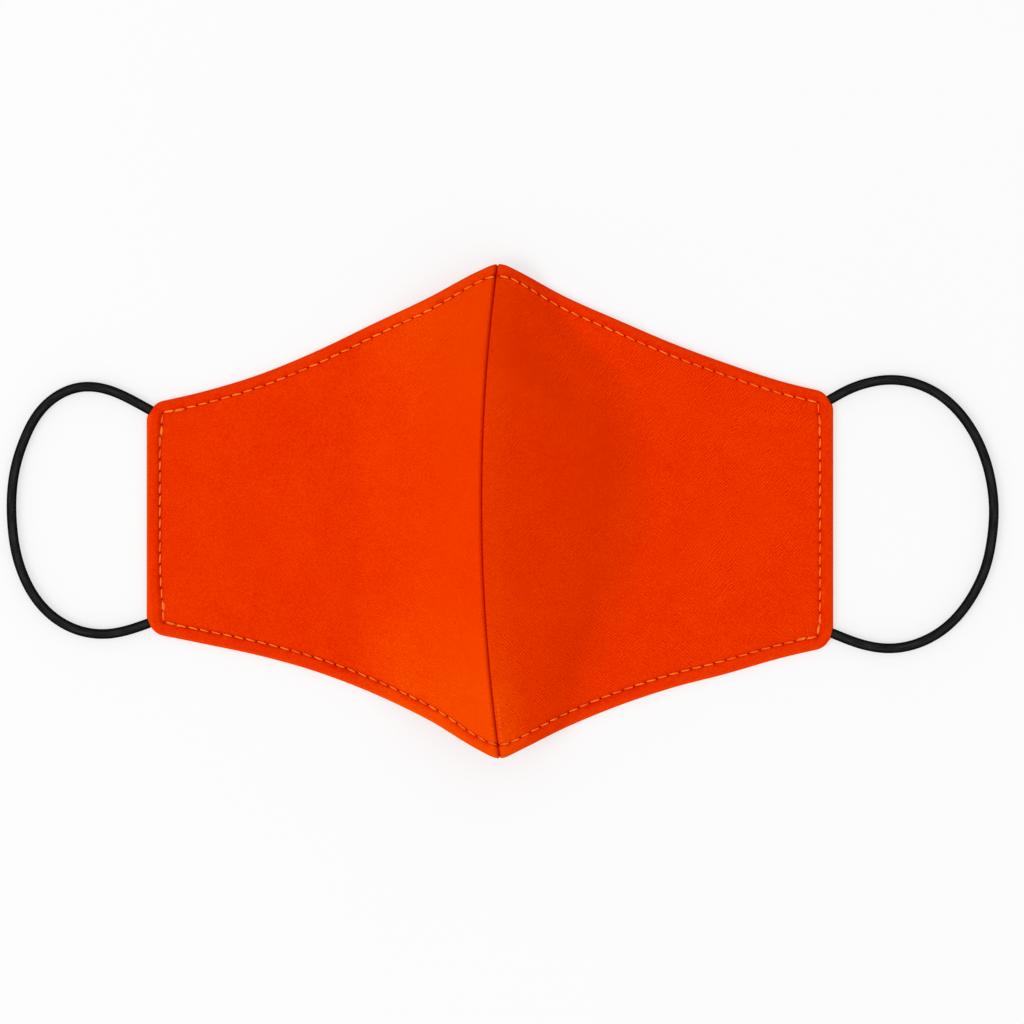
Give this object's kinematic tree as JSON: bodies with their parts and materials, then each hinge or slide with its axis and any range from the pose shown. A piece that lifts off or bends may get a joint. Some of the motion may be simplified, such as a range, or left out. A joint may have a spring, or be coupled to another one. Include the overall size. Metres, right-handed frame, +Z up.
{
  "type": "cloth face mask",
  "caption": "Fitted cloth face mask with a raised centre seam, a topstitched hem and elastic cord ear loops, lying on its open side.",
  "frame": {"origin": "middle of the cloth's box, on the surface that the mask lies on, without the ear loops", "axes": "+X to the right side edge seen from above, +Y to the nose end of the centre seam, +Z up through the ridge"},
  "size_m": [0.3221, 0.1605, 0.0331],
  "materials": {
    "mask_cloth": "orange-red cotton twill, matt",
    "hem_thread": "light orange sewing thread, slight sheen",
    "ear_elastic": "black round knitted elastic, matt"
  },
  "bodies": {
    "root": {"panel_left": "mask_cloth", "panel_right": "mask_cloth", "ear_loop_left": "ear_elastic", "ear_loop_right": "ear_elastic"}
  },
  "joints": []
}
